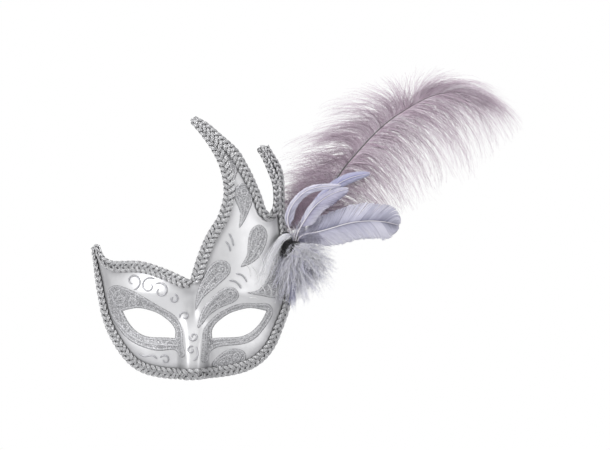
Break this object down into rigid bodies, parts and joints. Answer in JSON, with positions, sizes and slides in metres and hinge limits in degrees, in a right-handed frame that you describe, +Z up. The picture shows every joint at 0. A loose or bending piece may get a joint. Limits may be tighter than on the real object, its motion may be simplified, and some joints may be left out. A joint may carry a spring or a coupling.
{
  "type": "venetian masquerade mask",
  "caption": "Half-face masquerade mask with a flame-shaped crest, gimp braid edge, glitter drops and piped scrolls, and a spray of feathers at one temple.",
  "frame": {"origin": "inner face of the shell on the nose bridge at eye level, where the mask rests on the nose", "axes": "+X across the face to the viewer's right, +Y from the front of the mask back towards the wearer, +Z up"},
  "size_m": [0.3915, 0.0737, 0.2798],
  "materials": {
    "papier_mache": "painted paper pulp with a pearl silver wash",
    "silver_gimp": "woven metallic gimp braid",
    "glitter": "fine silver-grey glitter in varnish",
    "gesso": "piped gesso with a pewter rub",
    "black_felt": "pressed felt",
    "black_thread": "wound thread",
    "dark_quill": "dyed keratin",
    "pale_quill": "dyed keratin",
    "ostrich": "dyed ostrich barbs",
    "grey_feather": "dyed goose vane",
    "lilac_feather": "dyed goose vane",
    "pale_feather": "dyed goose vane",
    "marabou": "dyed down",
    "satin_ribbon": "satin ribbon"
  },
  "bodies": {
    "mask": {"mask_shell": "papier_mache", "braid_brow": "silver_gimp", "braid_flame": "silver_gimp", "braid_notch": "silver_gimp", "braid_horn": "silver_gimp", "braid_right": "silver_gimp", "braid_bottom": "silver_gimp", "braid_left": "silver_gimp", "eye_band_left": "glitter", "eye_band_right": "glitter", "drop_over_eye": "glitter", "drop_brow": "glitter", "drop_side": "glitter", "drop_flame": "glitter", "drop_tip": "glitter", "drop_cheek": "glitter", "leaf_temple": "glitter", "scroll_nose": "gesso", "scroll_brow": "gesso", "scroll_cheek": "gesso", "scroll_flame": "gesso", "scroll_temple": "gesso", "feather_pad": "black_felt", "quill_binding": "black_thread", "hackle_curl": "pale_feather", "down_tip": "lilac_feather", "marabou_tuft": "marabou", "marabou_cover": "marabou", "tie_eye_left": "satin_ribbon", "tie_eye_right": "satin_ribbon", "felt_patch_left": "black_felt", "felt_patch_right": "black_felt"},
    "plume": {"plume_shaft": "dark_quill", "plume_upper_barbs": "ostrich", "plume_lower_barbs": "ostrich", "plume_base_down": "ostrich"},
    "goose_long": {"goose_long_shaft": "pale_quill", "goose_long_vane": "grey_feather"},
    "goose_mid": {"goose_mid_shaft": "pale_quill", "goose_mid_vane": "lilac_feather"},
    "goose_curl": {"goose_curl_shaft": "pale_quill", "goose_curl_vane": "pale_feather"},
    "goose_tip": {"goose_tip_shaft": "pale_quill", "goose_tip_vane": "lilac_feather"}
  },
  "joints": [
    {"name": "plume_flex", "type": "hinge", "parent": "mask", "child": "plume", "pos_m": [0.09315, 0.03536, 0.07976], "axis": [0, 1, 0], "range_deg": [-8, 8], "stiffness_Nm_per_rad": 0.6},
    {"name": "goose_long_flex", "type": "hinge", "parent": "mask", "child": "goose_long", "pos_m": [0.09385, 0.03256, 0.07976], "axis": [0, 1, 0], "range_deg": [-6, 6], "stiffness_Nm_per_rad": 0.05},
    {"name": "goose_mid_flex", "type": "hinge", "parent": "mask", "child": "goose_mid", "pos_m": [0.09195, 0.03116, 0.07976], "axis": [0, 1, 0], "range_deg": [-6, 6], "stiffness_Nm_per_rad": 0.05},
    {"name": "goose_curl_flex", "type": "hinge", "parent": "mask", "child": "goose_curl", "pos_m": [0.09005, 0.03256, 0.07976], "axis": [0, 1, 0], "range_deg": [-6, 6], "stiffness_Nm_per_rad": 0.05},
    {"name": "goose_tip_flex", "type": "hinge", "parent": "mask", "child": "goose_tip", "pos_m": [0.09025, 0.03436, 0.07976], "axis": [0, 1, 0], "range_deg": [-6, 6], "stiffness_Nm_per_rad": 0.05}
  ]
}
